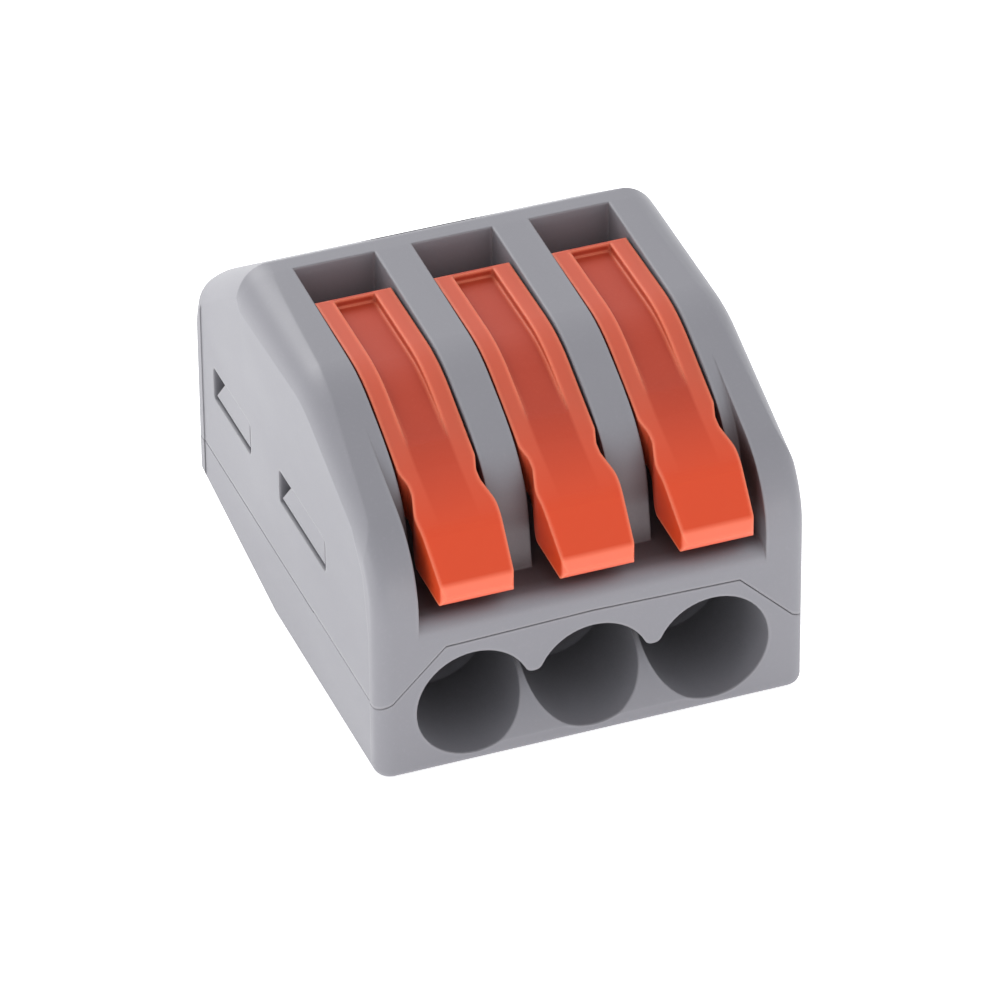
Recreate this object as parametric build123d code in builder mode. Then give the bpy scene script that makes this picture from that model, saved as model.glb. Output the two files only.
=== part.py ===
from build123d import *
import os
from math import cos, radians, sin

# Three-pole splicing connector with levers and caged clamp springs, in millimetres.
# Frame: X across the poles, Y from the wire entries (-Y) to the rear (+Y), Z up.
# The origin is the middle of the bounding box's base. In the text below a depth is
# measured rearwards from the wire-entry face, and a height from the resting face.

# ---------------------------------------------------------------- driving dimensions
POLE_COUNT = 3
PITCH = 5.0
WIDTH = 18.0
DEPTH = 21.3
HEIGHT = 14.1
TIP_REACH = 0.65  # how far the lever tips stand out in front of the entry face

# Outside of the two shells together, seen from the side
FLAT_BASE = 12.2  # depth to which the underside is flat
REAR_LIFT = 1.4  # height of the underside at the rear wall
EAVE_HEIGHT = 10.8  # where the roof line meets the rear wall line
RIDGE_DEPTHS = (15.5, 16.3)
SHOULDER = (7.94, 13.7)
BROW = (0.0, 10.0)
BROW_RADIUS = 4.0
SHOULDER_RADIUS = 6.0
RIDGE_RADIUS = 0.35
# Where the roof turns down: distances from the rear wall, drops below the roof line
EAVE_KNEES = ((0.0, 0.9), (0.25, 0.35), (0.8, 0.0))
EAVE_RADIUS = 1.5
SIDE_RADIUS = 0.7
# The sides of the roof are rounded more, least so at the front
CROWN_RADIUS = 1.5
CROWN_SHOULDER = (7.94, 13.78)
CROWN_BROW = (-1.2, 10.0)
BASE_RADIUS = 0.4
REAR_RADIUS = 0.3
PANEL_INSET = 0.04  # the flat side panels are a little below their rounded border
PANEL_OUTLINE = (
    (0.95, -1.0),
    (0.95, 6.4),
    (1.5, 8.9),
    (3.1, 10.8),
    (5.6, 12.2),
    (8.4, 13.15),
    (15.7, 13.35),
    (20.6, 10.1),
    (20.6, -1.0),
)

# Seam between the shells
SEAM_HEIGHT = 3.25
SEAM_GAP = 0.05
BLOCK_DEPTH = 7.5  # the lower shell's wire-guide block
BLOCK_HEIGHT = 5.97
BLOCK_CORNERS = ((8.4, 3.6), (6.15, 5.82))  # half widths and heights of its slanted corners

# Chambers and lever slots
SLOT_WIDTH = 3.44
REAR_WALL = 1.2
ROOF_THICKNESS = 1.15
SHELF_HEIGHT = 7.05  # top of the bar above the wire entries
SHELF_RADIUS = 0.7
POCKET_WIDTH = 14.5
POCKET_REAR = (6.0, 12.8)  # where the ribs begin to fall into the pocket
POCKET_FOOT = (2.5, 8.9)
POCKET_FLOOR_DEPTH = 2.2  # where it meets the shelf
POCKET_SLOPES = ((-1, -0.48), (-0.12, -1))  # directions in which it starts and ends
BAFFLE_REAR = 16.5  # wall behind the levers, from the ridge down to just above the springs
BAFFLE_LOW = 9.2
FLOOR_THICKNESS = 0.6

# Wire entries
WIRE_HEIGHT = 2.88
ENTRY_RADIUS = 2.4
ENTRY_DEPTH = 5.0
GUIDE_RADIUS = 1.45
GUIDE_DEPTH = 6.7
# The webs between the entries slope back from the face, up to a small cusp above them
WEB_FOOT = 0.7
WEB_SLOPE = (0.9, 2.0)
WEB_HEAD = (2.4, 3.3)
CUSP_HEIGHT = 3.75
CUSP_RADIUS = 0.33
WEB_WIDTH = 3.2

# Snap hooks and their windows: front and rear depths of each window
WINDOWS = ((5.9, 11.3), (14.7, 19.2))
WINDOW_HEIGHTS = (6.2, 7.7)
WINDOW_RADIUS = 0.2
HOOK_FRONT_GAP = 0.2
HOOK_REAR_GAPS = (0.25, 1.35)  # at the foot and at the top of the hook's slanted rear end
HOOK_SILL_GAP = 0.25
HOOK_TOP_GAP = 0.05
HOOK_INSET = 0.05  # how far the hook's face stays below the side panel
HOOK_ROOT = 2.0  # height at which its arm grows out of the tray
HOOK_THICKNESS = 0.85
HOOK_SIDE_GAP = 0.2  # between the hook's arm and the chamber beside it
HOOK_POCKET = 1.15

# Busbar
BUSBAR_BASE = 4.25
BUSBAR_THICKNESS = 0.85
STRIP_DEPTHS = (12.45, 14.45)
STRIP_WIDTH = 13.0
TONGUE_FRONT = 7.9
TONGUE_WIDTH = 2.0

# Clamp spring
STRIP_THICKNESS = 0.35
SPRING_WIDTH = 3.2
LOOP_CENTRE = (15.5, 6.9)
LOOP_RADIUS = 1.7
LEG_DEPTH = 8.9
LEG_FOOT = 3.3
BEND_RADIUS = 0.75
CAGE_WIDTH = 2.2
CAGE_HEIGHTS = (4.2, 8.0)

# Lever
PIVOT = (11.4, 10.8)
LEVER_WIDTH = 3.2
TRUNNION_RADIUS = 0.9
TRUNNION_REACH = 0.45
RUNNING_GAP = 0.05
# Cam radii that keep it on the spring's arm; angles are about the pivot, 0 to the rear
CAM_CURVE = ((-90, 2.1), (-60, 2.43), (-30, 2.86), (0, 3.22), (30, 3.5))
HEEL_ANGLE = -120
TAB_HALF_WIDTH = 1.7
# Outline from above: depth, half width and corner radius, from the rear to the tip
PLAN_CORNERS = (
    (16.0, LEVER_WIDTH / 2, 0),
    (3.95, LEVER_WIDTH / 2, 0.6),
    (3.35, 1.42, 0.3),
    (2.9, 1.42, 0.5),
    (1.9, TAB_HALF_WIDTH, 1.6),
    (-TIP_REACH, 1.5, 0.3),
)
CHANNEL_FLOOR = ((13.12, 13.4), (8.1, 13.27), (4.6, 11.98))
CHANNEL_RADIUS = 6.0
CHANNEL_WIDTH = 1.7

# ---------------------------------------------------------------- shared helpers
FRONT_Y = TIP_REACH - (DEPTH + TIP_REACH) / 2
POLES = [(i - (POLE_COUNT - 1) / 2) * PITCH for i in range(POLE_COUNT)]
RIBS = [(i + 1 - POLE_COUNT / 2) * PITCH for i in range(POLE_COUNT - 1)]
FAR = 40.0  # longer than the connector in any direction


def side_plane(x=0.0):
    """Plane across the poles: its x runs rearwards from the entry face, its y up."""
    return Plane(origin=(x, FRONT_Y, 0), x_dir=(0, 1, 0), z_dir=(1, 0, 0))


def face_plane(depth=0.0):
    """Plane parallel to the entry face, facing forwards."""
    return Plane(origin=(0, FRONT_Y + depth, 0), x_dir=(1, 0, 0), z_dir=(0, -1, 0))


def roof_height(depth):
    """Height of the sloping rear roof."""
    slope = (HEIGHT - EAVE_HEIGHT) / (DEPTH - RIDGE_DEPTHS[1])
    return HEIGHT - slope * (depth - RIDGE_DEPTHS[1])


def underside_height(depth):
    """Height of the underside, flat in front and rising behind."""
    slope = REAR_LIFT / (DEPTH - FLAT_BASE)
    return max(0.0, slope * (depth - FLAT_BASE))


def near(point, places, reach=0.01):
    """True when a sketch's corner is at one of the given pairs of sketch coordinates."""
    return any(abs(point.X - u) < reach and abs(point.Y - v) < reach for u, v in places)


# ---------------------------------------------------------------- outer form
def is_rear_edge(edge):
    return edge.center().Y > FRONT_Y + DEPTH - 0.01


def is_base_edge(edge):
    return edge.center().Z < REAR_LIFT and not is_rear_edge(edge)


def is_upper_edge(edge):
    return not is_rear_edge(edge) and not is_base_edge(edge)


def make_crown():
    """Form that shares the roof of the envelope but has more rounded sides."""
    far_rear = DEPTH + 2
    with BuildPart() as crown:
        with BuildSketch(side_plane()) as outline:
            Polygon(
                (CROWN_BROW[0], -1),
                (far_rear, -1),
                (far_rear, roof_height(far_rear)),
                (RIDGE_DEPTHS[1], HEIGHT),
                (RIDGE_DEPTHS[0], HEIGHT),
                CROWN_SHOULDER,
                CROWN_BROW,
                align=None,
            )
            shoulder = [v for v in outline.vertices() if near(v, [CROWN_SHOULDER])]
            fillet(shoulder, radius=SHOULDER_RADIUS)
        extrude(amount=WIDTH / 2, both=True)
        side_edges = crown.faces().filter_by(Axis.X).edges()
        roof_edges = side_edges.filter_by(lambda e: e.center().Z > roof_height(far_rear))
        fillet(roof_edges, radius=CROWN_RADIUS)
    return crown.part


def make_envelope():
    """Outside of both shells together, before the seam and the openings are cut."""
    ridge = [(depth, HEIGHT) for depth in RIDGE_DEPTHS]
    eave = [(DEPTH - inset, roof_height(DEPTH - inset) - drop) for inset, drop in EAVE_KNEES]
    with BuildPart() as envelope:
        with BuildSketch(side_plane()) as outline:
            with BuildLine():
                Polyline(
                    (0, 0),
                    (FLAT_BASE, 0),
                    (DEPTH, REAR_LIFT),
                    *eave,
                    ridge[1],
                    ridge[0],
                    SHOULDER,
                    BROW,
                    close=True,
                )
            make_face()
            for places, radius in (
                ([BROW], BROW_RADIUS),
                ([SHOULDER], SHOULDER_RADIUS),
                (ridge, RIDGE_RADIUS),
                (eave[1:], EAVE_RADIUS),
            ):
                corners = [v for v in outline.vertices() if near(v, places)]
                fillet(corners, radius=radius)
        extrude(amount=WIDTH / 2, both=True)
        for radius, is_chosen in (
            (SIDE_RADIUS, is_upper_edge),
            (BASE_RADIUS, is_base_edge),
            (REAR_RADIUS, is_rear_edge),
        ):
            side_edges = envelope.faces().filter_by(Axis.X).edges()
            fillet(side_edges.filter_by(is_chosen), radius=radius)
        add(make_crown(), mode=Mode.INTERSECT)
        for side in (-1, 1):
            with BuildSketch(side_plane(side * (WIDTH / 2 - PANEL_INSET))):
                Polygon(*PANEL_OUTLINE, align=None)
            extrude(amount=side, mode=Mode.SUBTRACT)
    return envelope.part


def block_outline(margin=0.0):
    """Corners of the wire-guide block's section, from far below up to its slanted top."""
    (low_x, low_h), (high_x, high_h) = BLOCK_CORNERS
    rising = [
        (-FAR, -FAR),
        (-FAR, SEAM_HEIGHT),
        (-WIDTH / 2, SEAM_HEIGHT),
        (-low_x, low_h),
        (-high_x, high_h),
        (0, BLOCK_HEIGHT),
    ]
    falling = [(-x, h) for x, h in reversed(rising[:-1])]
    return [(x, h + margin) for x, h in rising + falling]


# ---------------------------------------------------------------- upper shell
def make_upper_housing(envelope):
    """Cover with three open lever slots, pivot grooves and four latch windows."""
    with BuildPart() as upper:
        add(envelope)
        split(bisect_by=Plane.XY.offset(SEAM_HEIGHT + SEAM_GAP / 2), keep=Keep.TOP)
        with BuildSketch(face_plane(-TIP_REACH)):
            Polygon(*block_outline(SEAM_GAP / 2), align=None)
        extrude(amount=-(TIP_REACH + BLOCK_DEPTH + SEAM_GAP), mode=Mode.SUBTRACT)

        inner_rear = DEPTH - REAR_WALL
        for x in POLES:
            with BuildSketch(side_plane(x)):
                Polygon(
                    (-TIP_REACH, SHELF_HEIGHT),
                    (BLOCK_DEPTH, SHELF_HEIGHT),
                    (BLOCK_DEPTH, 0),
                    (inner_rear, 0),
                    (inner_rear, roof_height(inner_rear) - ROOF_THICKNESS),
                    (BAFFLE_REAR, roof_height(BAFFLE_REAR) - ROOF_THICKNESS),
                    (BAFFLE_REAR, BAFFLE_LOW),
                    (RIDGE_DEPTHS[0], BAFFLE_LOW),
                    (RIDGE_DEPTHS[0], HEIGHT + 1),
                    (-TIP_REACH, HEIGHT + 1),
                    align=None,
                )
            extrude(amount=SLOT_WIDTH / 2, both=True, mode=Mode.SUBTRACT)

        # Finger pocket around the lever tabs, over a shelf with a rounded front edge
        shelf_bend = SHELF_HEIGHT - SHELF_RADIUS
        with BuildSketch(side_plane()):
            with BuildLine():
                CenterArc((SHELF_RADIUS, shelf_bend), SHELF_RADIUS, 90, 90)
                Polyline(
                    (0, shelf_bend),
                    (-TIP_REACH, shelf_bend),
                    (-TIP_REACH, HEIGHT),
                    (POCKET_REAR[0], HEIGHT),
                    POCKET_REAR,
                )
                Spline(POCKET_REAR, POCKET_FOOT, tangents=POCKET_SLOPES)
                Polyline(
                    POCKET_FOOT, (POCKET_FLOOR_DEPTH, SHELF_HEIGHT), (SHELF_RADIUS, SHELF_HEIGHT)
                )
            make_face()
        extrude(amount=POCKET_WIDTH / 2, both=True, mode=Mode.SUBTRACT)

        # Grooves that take the lever trunnions, open downwards
        groove_radius = TRUNNION_RADIUS + RUNNING_GAP
        groove_reach = SLOT_WIDTH / 2 + TRUNNION_REACH + 2 * RUNNING_GAP
        for x in POLES:
            with BuildSketch(side_plane(x)):
                with Locations(PIVOT):
                    Circle(groove_radius)
                with Locations((PIVOT[0], PIVOT[1] / 2)):
                    Rectangle(2 * groove_radius, PIVOT[1])
            extrude(amount=groove_reach, both=True, mode=Mode.SUBTRACT)

        # Notch through the ribs for the busbar
        notch_gap = 0.05
        with BuildSketch(side_plane()):
            with Locations((sum(STRIP_DEPTHS) / 2, 0)):
                Rectangle(
                    STRIP_DEPTHS[1] - STRIP_DEPTHS[0] + 2 * notch_gap,
                    2 * (BUSBAR_BASE + BUSBAR_THICKNESS + notch_gap),
                )
        extrude(amount=STRIP_WIDTH / 2 + notch_gap, both=True, mode=Mode.SUBTRACT)

        # Latch windows, and the pockets behind them for the hook arms
        inner_wall = PITCH * (POLE_COUNT - 1) / 2 + SLOT_WIDTH / 2
        for front, rear in WINDOWS:
            for side in (-1, 1):
                with BuildSketch(side_plane(side * (inner_wall - RUNNING_GAP))):
                    with Locations(((front + rear) / 2, 0)):
                        Rectangle(rear - front, 2 * (WINDOW_HEIGHTS[1] + 0.4))
                extrude(amount=side * (HOOK_POCKET + RUNNING_GAP), mode=Mode.SUBTRACT)
                with BuildSketch(side_plane(side * inner_wall)):
                    with Locations(((front + rear) / 2, sum(WINDOW_HEIGHTS) / 2)):
                        RectangleRounded(
                            rear - front, WINDOW_HEIGHTS[1] - WINDOW_HEIGHTS[0], WINDOW_RADIUS
                        )
                extrude(amount=side * WIDTH, mode=Mode.SUBTRACT)

        # Test-probe slots in the rear wall, one for each pole
        for x in POLES:
            with BuildSketch(face_plane(DEPTH + 1)):
                with Locations((x, BUSBAR_BASE + BUSBAR_THICKNESS / 2)):
                    RectangleRounded(1.6, 1.2, 0.3)
            extrude(amount=REAR_WALL + 1.5, mode=Mode.SUBTRACT)

        # Shallow recess across the middle of the roof
        with BuildSketch(side_plane()):
            Polygon(
                (RIDGE_DEPTHS[1] + 0.7, roof_height(RIDGE_DEPTHS[1] + 0.7) - 0.2),
                (RIDGE_DEPTHS[1] + 0.7, HEIGHT + 1),
                (DEPTH - 1.6, HEIGHT + 1),
                (DEPTH - 1.6, roof_height(DEPTH - 1.6) - 0.2),
                align=None,
            )
        extrude(amount=2.6, both=True, mode=Mode.SUBTRACT)
    upper.part.label = "upper_housing"
    return upper.part


# ---------------------------------------------------------------- lower shell
def make_lower_housing(envelope):
    """Base tray with the wire-guide block, chamber dividers and four snap hooks."""
    top = SEAM_HEIGHT - SEAM_GAP / 2
    inner_rear = DEPTH - REAR_WALL
    with BuildPart() as lower:
        add(envelope)
        # Above the seam only the guide block is left
        with BuildSketch(face_plane(-1)):
            Rectangle(WIDTH + 2, 2 * FAR - 4)
            Polygon(*block_outline(-SEAM_GAP / 2), align=None, mode=Mode.SUBTRACT)
        extrude(amount=-(BLOCK_DEPTH + 1), mode=Mode.SUBTRACT)
        with BuildSketch(face_plane(BLOCK_DEPTH)):
            with Locations((0, top + FAR / 2)):
                Rectangle(2 * FAR, FAR)
        extrude(amount=-FAR, mode=Mode.SUBTRACT)

        # Spring chambers
        for x in POLES:
            with BuildSketch(side_plane(x)):
                Polygon(
                    (BLOCK_DEPTH, FLOOR_THICKNESS),
                    (FLAT_BASE, FLOOR_THICKNESS),
                    (inner_rear, underside_height(inner_rear) + FLOOR_THICKNESS),
                    (inner_rear, HEIGHT),
                    (BLOCK_DEPTH, HEIGHT),
                    align=None,
                )
            extrude(amount=SLOT_WIDTH / 2, both=True, mode=Mode.SUBTRACT)

        # Wire entries: round bore, cone and conductor guide
        for x in POLES:
            axis_plane = Plane(
                origin=(x, FRONT_Y, WIRE_HEIGHT), x_dir=(0, 1, 0), z_dir=(1, 0, 0)
            )
            with BuildSketch(axis_plane):
                Polygon(
                    (-1, 0),
                    (-1, ENTRY_RADIUS),
                    (ENTRY_DEPTH, ENTRY_RADIUS),
                    (GUIDE_DEPTH, GUIDE_RADIUS),
                    (BLOCK_DEPTH + 1, GUIDE_RADIUS),
                    (BLOCK_DEPTH + 1, 0),
                    align=None,
                )
            revolve(axis=Axis((x, FRONT_Y, WIRE_HEIGHT), (0, 1, 0)), mode=Mode.SUBTRACT)

        # Cuts that slope the webs between the entries back, with rounded cusps above
        for x in RIBS:
            with BuildSketch(side_plane(x)):
                with BuildLine():
                    ThreePointArc((0, WEB_FOOT), WEB_SLOPE, WEB_HEAD)
                    Polyline(
                        WEB_HEAD,
                        (WEB_HEAD[0], CUSP_HEIGHT),
                        (-1, CUSP_HEIGHT),
                        (-1, WEB_FOOT),
                        (0, WEB_FOOT),
                    )
                make_face()
            extrude(amount=WEB_WIDTH / 2, both=True, mode=Mode.SUBTRACT)
        along_entry = lower.edges().filter_by(Axis.Y)
        cusp_edges = along_entry.filter_by(lambda e: abs(e.center().Z - CUSP_HEIGHT) < 0.01)
        fillet(cusp_edges, radius=CUSP_RADIUS)

        # Snap hooks: an arm beside each window and a barb that fills it
        inner_wall = PITCH * (POLE_COUNT - 1) / 2 + SLOT_WIDTH / 2
        arm_inner = inner_wall + HOOK_SIDE_GAP
        barb_face = WIDTH / 2 - PANEL_INSET - HOOK_INSET
        barb_low = WINDOW_HEIGHTS[0] + HOOK_SILL_GAP
        barb_top = WINDOW_HEIGHTS[1] - HOOK_TOP_GAP
        for window_front, window_rear in WINDOWS:
            front = window_front + HOOK_FRONT_GAP
            foot, rear = (window_rear - gap for gap in HOOK_REAR_GAPS)
            for side in (-1, 1):
                for base, base_rear, reach in (
                    (HOOK_ROOT, rear, HOOK_THICKNESS),
                    (barb_low, foot, barb_face - arm_inner),
                ):
                    with BuildSketch(side_plane(side * arm_inner)):
                        Polygon(
                            (front, base),
                            (base_rear, base),
                            (rear, barb_top),
                            (front, barb_top),
                            align=None,
                        )
                    extrude(amount=side * reach)

        # Posts on the dividers that carry the busbar
        for x in RIBS:
            with BuildSketch(Plane.XY.offset(top - 1.0)):
                with Locations((x, FRONT_Y + sum(STRIP_DEPTHS) / 2)):
                    Rectangle(PITCH - SLOT_WIDTH - 0.2, STRIP_DEPTHS[1] - STRIP_DEPTHS[0] - 0.2)
            extrude(amount=BUSBAR_BASE - top + 1.0)
    lower.part.label = "lower_housing"
    return lower.part


# ---------------------------------------------------------------- contact parts
def make_busbar():
    """Flat tinned strip across the poles with one tongue for each clamp."""
    tongue_length = STRIP_DEPTHS[0] - TONGUE_FRONT
    with BuildPart() as busbar:
        with BuildSketch(Plane.XY.offset(BUSBAR_BASE)):
            with Locations((0, FRONT_Y + sum(STRIP_DEPTHS) / 2)):
                Rectangle(STRIP_WIDTH, STRIP_DEPTHS[1] - STRIP_DEPTHS[0])
            for x in POLES:
                with Locations((x, FRONT_Y + TONGUE_FRONT + tongue_length / 2 + 0.25)):
                    Rectangle(TONGUE_WIDTH, tongue_length + 0.5)
        extrude(amount=BUSBAR_THICKNESS)
        tips = busbar.edges().filter_by(Axis.X).group_by(Axis.Y)[0]
        fillet(tips, radius=0.3)
    busbar.part.label = "busbar"
    return busbar.part


def make_clamp_spring(x):
    """Bent strip: a loop at the rear, a top arm and a caged leg around the tongue."""
    middle_radius = LOOP_RADIUS - STRIP_THICKNESS / 2
    centre_d, centre_h = LOOP_CENTRE
    arm_height = centre_h + middle_radius
    with BuildPart() as spring:
        with BuildSketch(side_plane(x)):
            with BuildLine() as path:
                FilletPolyline(
                    (LEG_DEPTH, LEG_FOOT),
                    (LEG_DEPTH, arm_height),
                    (centre_d, arm_height),
                    radius=BEND_RADIUS,
                )
                CenterArc(LOOP_CENTRE, middle_radius, 90, -180)
            trace(path.line, line_width=STRIP_THICKNESS)
        extrude(amount=SPRING_WIDTH / 2, both=True)
        with BuildSketch(face_plane(LEG_DEPTH - 2)):
            with Locations((x, sum(CAGE_HEIGHTS) / 2)):
                RectangleRounded(CAGE_WIDTH, CAGE_HEIGHTS[1] - CAGE_HEIGHTS[0], 0.2)
        extrude(amount=-3, mode=Mode.SUBTRACT)
    return spring.part


# ---------------------------------------------------------------- lever
def cam_point(angle, radius):
    """Point at an angle and a distance from the pivot, in a side sketch."""
    return (
        PIVOT[0] + radius * cos(radians(angle)),
        PIVOT[1] + radius * sin(radians(angle)),
    )


def make_lever(x):
    """Curved lever with a rail on each side, a finger tab, a cam and two trunnions."""
    rear_top = (13.3, 13.75)
    shoulder = (7.9, 13.62)
    waist = (3.8, 11.55)
    tab_crown = (1.2, 10.5)
    tab_nose = (-0.48, 9.0)
    tip_top = (-TIP_REACH, 8.5)
    tip_low = (-0.35, 8.05)
    tab_heel = (1.8, 8.5)
    belly = (3.3, 9.7)
    with BuildPart() as lever:
        with BuildSketch(side_plane(x)) as side:
            with BuildLine():
                cam = [cam_point(angle, radius) for angle, radius in CAM_CURVE]
                Polyline(
                    rear_top,
                    shoulder,
                    waist,
                    tab_crown,
                    tab_nose,
                    tip_top,
                    tip_low,
                    tab_heel,
                    belly,
                    (8.4, 10.9),
                    cam_point(HEEL_ANGLE, CAM_CURVE[0][1]),
                    cam[0],
                )
                Spline(cam)
                Line(cam[-1], rear_top)
            make_face()
            for places, radius in (
                ([shoulder], 6.0),
                ([tab_crown, waist], 1.6),
                ([rear_top, tab_nose, tip_low, tip_top], 0.15),
                ([tab_heel, belly], 0.6),
            ):
                fillet([v for v in side.vertices() if near(v, places)], radius=radius)
        extrude(amount=TAB_HALF_WIDTH, both=True)

        # Outline from above: straight body, waist, then the wider tab
        with BuildSketch(Plane.XY) as plan:
            corners = []
            for depth, half, _ in PLAN_CORNERS:
                corners.append((x + half, FRONT_Y + depth))
                corners.insert(0, (x - half, FRONT_Y + depth))
            Polygon(*corners, align=None)
            for depth, half, radius in PLAN_CORNERS:
                if radius:
                    places = [(x + side * half, FRONT_Y + depth) for side in (-1, 1)]
                    fillet([v for v in plan.vertices() if near(v, places)], radius=radius)
        extrude(amount=HEIGHT + 1, mode=Mode.INTERSECT)

        # Shallow channel between the rails, fading out before the waist
        with BuildSketch(side_plane(x)):
            with BuildLine():
                FilletPolyline(*CHANNEL_FLOOR, radius=CHANNEL_RADIUS)
                rear, front = CHANNEL_FLOOR[0], CHANNEL_FLOOR[-1]
                Polyline(rear, (rear[0], HEIGHT + 1), (front[0], HEIGHT + 1), front)
            make_face()
        extrude(amount=CHANNEL_WIDTH / 2, both=True, mode=Mode.SUBTRACT)

        # Hollow underside
        with BuildSketch(side_plane(x)):
            Polygon((3.9, 9.0), (3.9, 10.6), (7.4, 12.1), (8.9, 12.2), (8.9, 9.0), align=None)
        extrude(amount=0.9, both=True, mode=Mode.SUBTRACT)

        # Trunnions
        with BuildSketch(side_plane(x)):
            with Locations(PIVOT):
                Circle(TRUNNION_RADIUS)
        extrude(amount=SLOT_WIDTH / 2 + TRUNNION_REACH, both=True)
    return lever.part


# ---------------------------------------------------------------- assembly
os.makedirs("parts", exist_ok=True)
outer_form = make_envelope()
pieces = [make_upper_housing(outer_form), make_lower_housing(outer_form), make_busbar()]
for side_name, pole_x in zip(("left", "middle", "right"), POLES):
    for piece, name in ((make_clamp_spring(pole_x), "clamp_spring"), (make_lever(pole_x), "lever")):
        piece.label = f"{name}_{side_name}"
        pieces.append(piece)
for piece in pieces:
    export_step(piece, f"parts/{piece.label}.step")
    print(piece.label, round(piece.volume, 2), piece.bounding_box().size)
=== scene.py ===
import math

import bmesh
import bpy
from mathutils import Matrix, Vector


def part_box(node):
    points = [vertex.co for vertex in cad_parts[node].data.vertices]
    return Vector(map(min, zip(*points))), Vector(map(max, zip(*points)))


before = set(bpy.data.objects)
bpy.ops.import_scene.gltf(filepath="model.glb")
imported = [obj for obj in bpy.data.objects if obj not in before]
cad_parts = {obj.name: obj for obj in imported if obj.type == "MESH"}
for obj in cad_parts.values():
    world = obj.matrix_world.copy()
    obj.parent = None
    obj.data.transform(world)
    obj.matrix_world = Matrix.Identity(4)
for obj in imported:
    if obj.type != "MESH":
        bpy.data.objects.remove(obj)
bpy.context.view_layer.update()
scene = bpy.context.scene

# ---------------------------------------------------------------- places on the object, mm
MM = 0.001  # metres in a millimetre
PITCH = 5.0  # distance between the poles
FRONT_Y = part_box("lower_housing")[0][1] / MM  # where the wire-entry face stands

# Each pair is where a change of colour begins and ends. Depths are behind the wire-entry face,
# and negative ones are in front of it.
POCKET_FRONT = 0.3, 1.2  # depths where the finger pocket's painted shade comes in
POCKET_REAR = 2.5, 6.5  # depths where it goes out between the ribs
POCKET_SIDES = 7.25, 7.35  # half widths
POCKET_FLOOR = 6.6, 7.1  # heights
RAIL_START = 0.78, 0.92  # distances from a lever's middle line
TAB_DEPTH = 1.2, 5.2  # depths where the finger tab's painted lighter colour fades into the lever
TIP_DEPTH = -0.52, -0.36  # depths where the painted highlight on the end face of the tab stops
OBJECT_MIDDLE = Vector((0, 0, 7))
FLOOR_REACH = 600  # from the middle of the floor to its sides

# ---------------------------------------------------------------- colours and finish
GREY = (0.205, 0.202, 0.221)
GREY_DARK = (0.190, 0.187, 0.206)
# painted highlight: lighter grey for the housing's edges
GREY_EDGE_HIGHLIGHT = (0.32, 0.31, 0.33)
# painted shade: dark warm colour for the finger pocket around the lever tabs
POCKET_SHADE = (0.06, 0.032, 0.032)
# painted shade: darker colours for deep in the cover's and the tray's recesses
COVER_SHADE = (0.115, 0.09, 0.095)
TRAY_SHADE = (0.004, 0.002, 0.002)

ORANGE = (0.40, 0.044, 0.018)
ORANGE_DARK = (0.35, 0.037, 0.015)
# painted light: paler colours for the rails, the finger tab and its end face, where light
# falls on them
ORANGE_RAIL_LIT = (0.49, 0.08, 0.04)
ORANGE_TAB_LIT = (0.58, 0.056, 0.014)
ORANGE_TIP_HIGHLIGHT = (0.72, 0.135, 0.07)
# painted highlight for the lever's edges
ORANGE_EDGE_HIGHLIGHT = (0.80, 0.20, 0.11)
# painted shade for the lever's recesses
ORANGE_SHADE = (0.2, 0.018, 0.008)

STEEL, STEEL_DARK = (0.62, 0.61, 0.59), (0.5, 0.49, 0.47)
TIN, TIN_DARK = (0.78, 0.77, 0.74), (0.66, 0.65, 0.61)
WHITE, WHITE_DARK = (0.95, 0.95, 0.95), (0.93, 0.93, 0.93)

PLASTIC_IOR = 1.53
FLOW_PER_MM, SPECK_PER_MM, GRAIN_PER_MM = 0.16, 7.0, 14.0
FLOW_HEIGHT, GRAIN_HEIGHT = 0.02, 0.006  # mm
LINES_PER_MM, BLOTCHES_PER_MM = 9.0, 0.6
LINE_HEIGHT, SHEARED_EDGE = 0.004, 0.06  # mm
ALONG_X, ACROSS_X = (0.05, 1, 1), (1, 0.06, 0.06)  # how the rolling lines are stretched
FLAT_COSINE, EDGE_COSINE = 0.995, 0.90  # between the true and the rounded normal


# ---------------------------------------------------------------- node helpers
def new_material(name):
    material = bpy.data.materials.new(name)
    material.use_nodes = True
    nodes = material.node_tree.nodes
    nodes.clear()
    output = nodes.new("ShaderNodeOutputMaterial")
    shader = nodes.new("ShaderNodeBsdfPrincipled")
    material.node_tree.links.new(shader.outputs["BSDF"], output.inputs["Surface"])
    return material, shader


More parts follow.
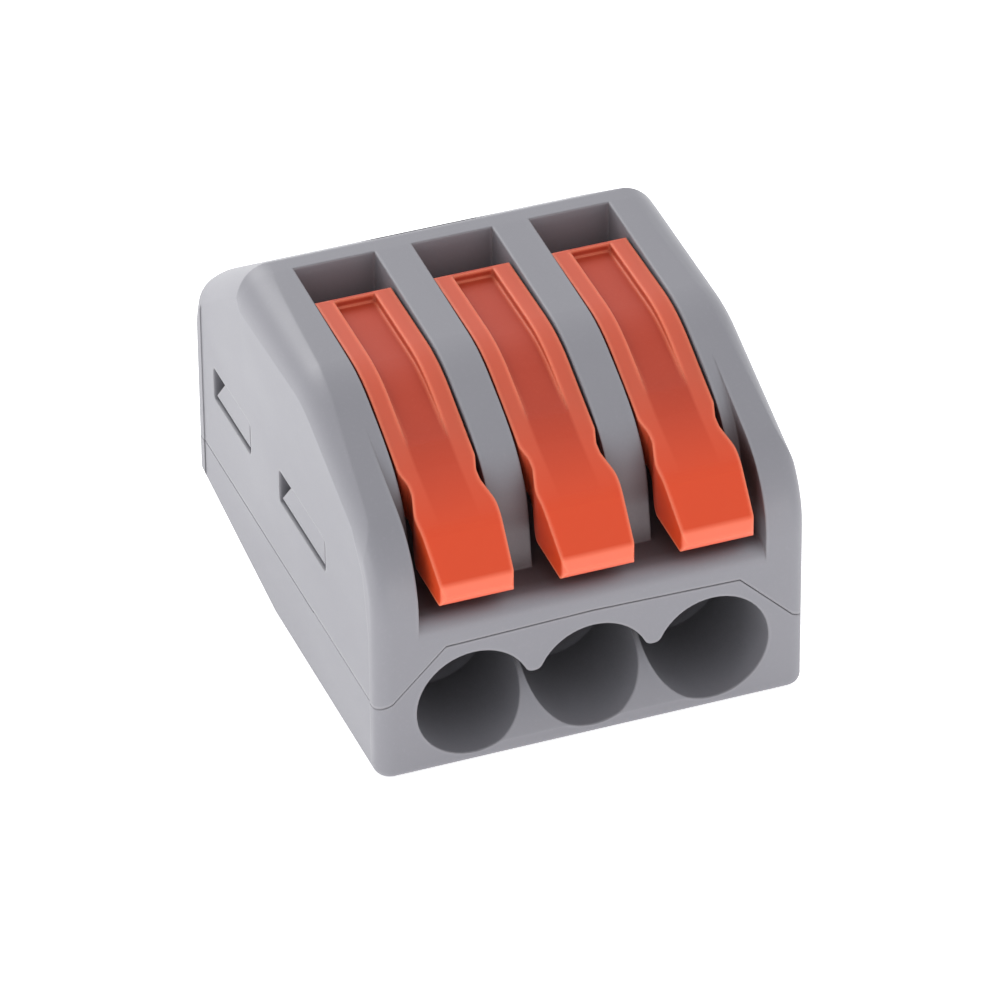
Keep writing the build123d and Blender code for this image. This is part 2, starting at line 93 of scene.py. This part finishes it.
class Graph:
    """Short calls for building a node graph on one material."""

    def __init__(self, material):
        self.nodes = material.node_tree.nodes
        self.links = material.node_tree.links
        self.position = self.nodes.new("ShaderNodeTexCoord").outputs["Object"]

    def link(self, source, target):
        self.links.new(source, target)

    def noise(self, per_mm, detail, rough=0.55, stretch=(1, 1, 1)):
        """Cloudy pattern of the given number of features to a millimetre."""
        mapping = self.nodes.new("ShaderNodeMapping")
        mapping.inputs["Scale"].default_value = stretch
        self.link(self.position, mapping.inputs["Vector"])
        node = self.nodes.new("ShaderNodeTexNoise")
        node.inputs["Scale"].default_value = per_mm / MM
        node.inputs["Detail"].default_value = detail
        node.inputs["Roughness"].default_value = rough
        self.link(mapping.outputs["Vector"], node.inputs["Vector"])
        return node.outputs["Fac"]

    def span(self, factor, low, high, from_low=0.0, from_high=1.0):
        """Low where the factor is from_low, high where it is from_high, even in between."""
        node = self.nodes.new("ShaderNodeMapRange")
        node.inputs["From Min"].default_value = from_low
        node.inputs["From Max"].default_value = from_high
        node.inputs["To Min"].default_value = low
        node.inputs["To Max"].default_value = high
        self.link(factor, node.inputs["Value"])
        return node.outputs["Result"]

    def mix(self, factor, first, second):
        """First colour where the factor is nought, second where it is one."""
        node = self.nodes.new("ShaderNodeMix")
        node.data_type = "RGBA"
        self.link(factor, node.inputs["Factor"])
        for value, socket in ((first, node.inputs["A"]), (second, node.inputs["B"])):
            if isinstance(value, tuple):
                socket.default_value = (*value, 1.0)
            else:
                self.link(value, socket)
        return node.outputs["Result"]

    def bump(self, height, strength, distance_mm, normal):
        node = self.nodes.new("ShaderNodeBump")
        node.inputs["Strength"].default_value = strength
        node.inputs["Distance"].default_value = distance_mm * MM
        self.link(height, node.inputs["Height"])
        self.link(normal, node.inputs["Normal"])
        return node.outputs["Normal"]

    def maths(self, operation, first, second=None):
        node = self.nodes.new("ShaderNodeMath")
        node.operation = operation
        for value, socket in ((first, node.inputs[0]), (second, node.inputs[1])):
            if isinstance(value, float):
                socket.default_value = value
            elif value is not None:
                self.link(value, socket)
        return node.outputs["Value"]

    def axis(self, name):
        parts = self.nodes.new("ShaderNodeSeparateXYZ")
        self.link(self.position, parts.inputs["Vector"])
        return parts.outputs[name]

    def rises(self, place, start_mm, end_mm):
        """Nought up to the first place, one from the second."""
        return self.span(place, 0.0, 1.0, start_mm * MM, end_mm * MM)

    def falls(self, place, start_mm, end_mm):
        """One up to the first place, nought from the second."""
        return self.span(place, 1.0, 0.0, start_mm * MM, end_mm * MM)

    def depth_rises(self, start_mm, end_mm):
        return self.rises(self.axis("Y"), FRONT_Y + start_mm, FRONT_Y + end_mm)

    def depth_falls(self, start_mm, end_mm):
        return self.falls(self.axis("Y"), FRONT_Y + start_mm, FRONT_Y + end_mm)

    def off_pole(self):
        """Nought in each lever's channel, one on its rails."""
        distance = self.maths("PINGPONG", self.axis("X"), PITCH / 2 * MM)
        return self.rises(distance, *RAIL_START)

    def in_pocket(self):
        """One in the finger pocket around the lever tabs, fading out to its rear."""
        behind_face = self.depth_rises(*POCKET_FRONT)
        before_ribs = self.depth_falls(*POCKET_REAR)
        between_sides = self.falls(self.maths("ABSOLUTE", self.axis("X")), *POCKET_SIDES)
        above_bar = self.rises(self.axis("Z"), *POCKET_FLOOR)
        depth = self.maths("MULTIPLY", behind_face, before_ribs)
        place = self.maths("MULTIPLY", between_sides, above_bar)
        return self.maths("MULTIPLY", depth, place)

    def openness(self, reach_mm, own_shape=False):
        """One on open surfaces, falling towards zero deep inside a recess."""
        node = self.nodes.new("ShaderNodeAmbientOcclusion")
        node.samples = 8
        node.only_local = own_shape
        node.inputs["Distance"].default_value = reach_mm * MM
        return node.outputs["AO"]

    def soft_edges(self, radius_mm, samples=6):
        node = self.nodes.new("ShaderNodeBevel")
        node.samples = samples
        node.inputs["Radius"].default_value = radius_mm * MM
        return node.outputs["Normal"]

    def edge_highlight(self, radius_mm):
        """Nought on flat surfaces, rising to one along edges within the given radius; the mask
        for painted edge highlights.
        """
        bent = self.soft_edges(radius_mm, samples=8)
        flat = self.nodes.new("ShaderNodeNewGeometry").outputs["Normal"]
        node = self.nodes.new("ShaderNodeVectorMath")
        node.operation = "DOT_PRODUCT"
        self.link(bent, node.inputs[0])
        self.link(flat, node.inputs[1])
        return self.span(node.outputs["Value"], 0.0, 1.0, FLAT_COSINE, EDGE_COSINE)


# ---------------------------------------------------------------- materials
def blotched(graph, colour, darker):
    """Plastic colour with flow marks and fine lighter specks; also gives the flow pattern."""
    flow = graph.noise(FLOW_PER_MM, detail=4.0, stretch=(1.0, 0.45, 1.0))
    speck = graph.noise(SPECK_PER_MM, detail=2.0)
    base = graph.mix(graph.span(flow, 0.0, 1.0, 0.3, 0.75), darker, colour)
    lighter = tuple(min(1.0, c * 1.05 + 0.008) for c in colour)
    return graph.mix(graph.span(speck, 0.0, 0.35, 0.55, 0.8), base, lighter), flow


def finish_plastic(graph, shader, base, flow, roughness, edge_mm):
    """Gives a plastic its grain, soft edges and uneven sheen."""
    grain = graph.noise(GRAIN_PER_MM, detail=4.0, rough=0.7)
    sheen = graph.span(flow, roughness - 0.06, roughness + 0.08, 0.3, 0.7)
    graph.link(base, shader.inputs["Base Color"])
    graph.link(sheen, shader.inputs["Roughness"])
    normal = graph.soft_edges(edge_mm)
    normal = graph.bump(flow, 0.25, FLOW_HEIGHT, normal)
    normal = graph.bump(grain, 0.35, GRAIN_HEIGHT, normal)
    graph.link(normal, shader.inputs["Normal"])
    shader.inputs["IOR"].default_value = PLASTIC_IOR


def housing_plastic(name, reach_mm, shade, open_from, open_to):
    """Grey satin plastic with painted shade in its recesses and finger pocket, and a little
    painted highlight on its edges.
    """
    material, shader = new_material(name)
    graph = Graph(material)
    base, flow = blotched(graph, GREY, GREY_DARK)
    # painted highlight along the housing's edges
    base = graph.mix(graph.span(graph.edge_highlight(0.26), 0.0, 0.35), base, GREY_EDGE_HIGHLIGHT)
    # painted shade in the finger pocket, strongest where it is closed in
    closed_in = graph.span(graph.openness(6.0), 1.0, 0.0, 0.2, 1.0)
    base = graph.mix(graph.maths("MULTIPLY", graph.in_pocket(), closed_in), base, POCKET_SHADE)
    # painted shade deep in the housing's own recesses
    openness = graph.openness(reach_mm, own_shape=True)
    base = graph.mix(graph.span(openness, 0.0, 1.0, open_from, open_to), shade, base)
    finish_plastic(graph, shader, base, flow, roughness=0.46, edge_mm=0.16)
    return material


def lever_plastic():
    """Orange plastic with painted light: lighter on the rails than in the channels, lighter
    still on the finger tab and its end face, painted highlights on the edges and painted shade
    in the recesses.
    """
    material, shader = new_material("lever_plastic")
    graph = Graph(material)
    base, flow = blotched(graph, ORANGE, ORANGE_DARK)
    # painted light: rails lighter than the channels
    base = graph.mix(graph.off_pole(), base, ORANGE_RAIL_LIT)
    # painted light: the finger tab lighter than the rest of the lever
    base = graph.mix(graph.depth_falls(*TAB_DEPTH), base, ORANGE_TAB_LIT)
    # painted highlight on the tab's end face
    base = graph.mix(graph.depth_falls(*TIP_DEPTH), base, ORANGE_TIP_HIGHLIGHT)
    # painted highlight along the lever's edges
    base = graph.mix(graph.span(graph.edge_highlight(0.28), 0.0, 0.75), base, ORANGE_EDGE_HIGHLIGHT)
    # painted shade in the lever's recesses
    base = graph.mix(graph.span(graph.openness(1.2), 0.0, 1.0, 0.0, 0.3), ORANGE_SHADE, base)
    finish_plastic(graph, shader, base, flow, roughness=0.42, edge_mm=0.14)
    shader.inputs["Specular IOR Level"].default_value = 0.25
    shader.inputs["Subsurface Weight"].default_value = 0.12
    shader.inputs["Subsurface Radius"].default_value = (0.9 * MM, 0.3 * MM, 0.15 * MM)
    shader.inputs["Subsurface Scale"].default_value = 1.0
    return material


def sheet_metal(name, colour, darker, roughness, stretch):
    """Rolled strip: long fine rolling lines, blotchy sheen and soft sheared edges."""
    material, shader = new_material(name)
    graph = Graph(material)
    lines = graph.noise(LINES_PER_MM, detail=3.0, stretch=stretch)
    blotch = graph.noise(BLOTCHES_PER_MM, detail=3.0)
    base = graph.mix(graph.span(blotch, 0.0, 1.0, 0.3, 0.7), darker, colour)
    sheen = graph.span(lines, roughness - 0.1, roughness + 0.14, 0.3, 0.7)
    graph.link(base, shader.inputs["Base Color"])
    graph.link(sheen, shader.inputs["Roughness"])
    normal = graph.bump(lines, 0.3, LINE_HEIGHT, graph.soft_edges(SHEARED_EDGE))
    graph.link(normal, shader.inputs["Normal"])
    shader.inputs["Metallic"].default_value = 1.0
    return material


LOOKS = {
    "upper_housing": housing_plastic("cover_plastic", 2.5, COVER_SHADE, 0.0, 0.36),
    "lower_housing": housing_plastic("tray_plastic", 4.0, TRAY_SHADE, 0.2, 0.72),
    "lever": lever_plastic(),
    "clamp_spring": sheet_metal("spring_strip", STEEL, STEEL_DARK, 0.28, ACROSS_X),
    "busbar": sheet_metal("tin_plate", TIN, TIN_DARK, 0.38, ALONG_X),
}
for node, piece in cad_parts.items():
    kind = next(kind for kind in LOOKS if node.startswith(kind))
    piece.data.materials.clear()
    piece.data.materials.append(LOOKS[kind])


# ---------------------------------------------------------------- floor and light
def make_floor():
    mesh = bpy.data.meshes.new("floor")
    form = bmesh.new()
    bmesh.ops.create_grid(form, x_segments=1, y_segments=1, size=FLOOR_REACH * MM)
    form.to_mesh(mesh)
    form.free()
    floor = bpy.data.objects.new("floor", mesh)
    scene.collection.objects.link(floor)
    material, shader = new_material("floor_white")
    graph = Graph(material)
    white = graph.mix(graph.noise(0.004, detail=2.0), WHITE_DARK, WHITE)
    graph.link(white, shader.inputs["Base Color"])
    shader.inputs["Roughness"].default_value = 0.9
    shader.inputs["Specular IOR Level"].default_value = 0.1
    shader.inputs["Emission Color"].default_value = (1.0, 1.0, 1.0, 1.0)
    shader.inputs["Emission Strength"].default_value = 0.6
    mesh.materials.append(material)


def add_light(name, place_mm, size_mm, watts):
    """Soft rectangular light that looks at the middle of the object."""
    data = bpy.data.lights.new(name, "AREA")
    data.shape = "RECTANGLE"
    data.size, data.size_y = (side * MM for side in size_mm)
    data.energy = watts
    lamp = bpy.data.objects.new(name, data)
    scene.collection.objects.link(lamp)
    lamp.location = Vector(place_mm) * MM
    aim = OBJECT_MIDDLE * MM - lamp.location
    lamp.rotation_euler = aim.to_track_quat("-Z", "Y").to_euler()


make_floor()
world = bpy.data.worlds.new("studio")
world.use_nodes = True
world.node_tree.nodes["Background"].inputs["Color"].default_value = (0.97, 0.98, 1.0, 1)
world.node_tree.nodes["Background"].inputs["Strength"].default_value = 1.1
scene.world = world
add_light("key", place_mm=(-180, 0, 10), size_mm=(110, 50), watts=0.08)
add_light("front_fill", place_mm=(25, -170, 4), size_mm=(110, 40), watts=0.055)
add_light("rear_light", place_mm=(-40, 150, 110), size_mm=(110, 80), watts=0.16)

# ---------------------------------------------------------------- camera
AZIMUTH, ELEVATION, ROLL = (math.radians(a) for a in (-20.59, 34.41, -0.525))
DISTANCE, SHIFT_RIGHT, SHIFT_UP = 308.46, 3.695, -8.701  # mm
FRONT = Vector((0.0, FRONT_Y, 0.62))  # point on the entry face that the camera is set from
SENSOR_WIDTH, FOCAL_LENGTH = 36.0, 282.4  # mm

back = Vector(
    (
        math.sin(AZIMUTH) * math.cos(ELEVATION),
        -math.cos(AZIMUTH) * math.cos(ELEVATION),
        math.sin(ELEVATION),
    )
)
level_right = Vector((math.cos(AZIMUTH), math.sin(AZIMUTH), 0.0))
level_up = back.cross(level_right)
right = math.cos(ROLL) * level_right + math.sin(ROLL) * level_up
up = -math.sin(ROLL) * level_right + math.cos(ROLL) * level_up
eye = FRONT + DISTANCE * back - SHIFT_RIGHT * right - SHIFT_UP * up

lens = bpy.data.cameras.new("camera")
lens.sensor_width = SENSOR_WIDTH
lens.lens = FOCAL_LENGTH
lens.clip_start = 10 * MM
camera = bpy.data.objects.new("camera", lens)
scene.collection.objects.link(camera)
turn = Matrix((right, up, back)).transposed().to_4x4()
camera.matrix_world = Matrix.Translation(eye * MM) @ turn
scene.camera = camera
scene.view_settings.view_transform = "Standard"
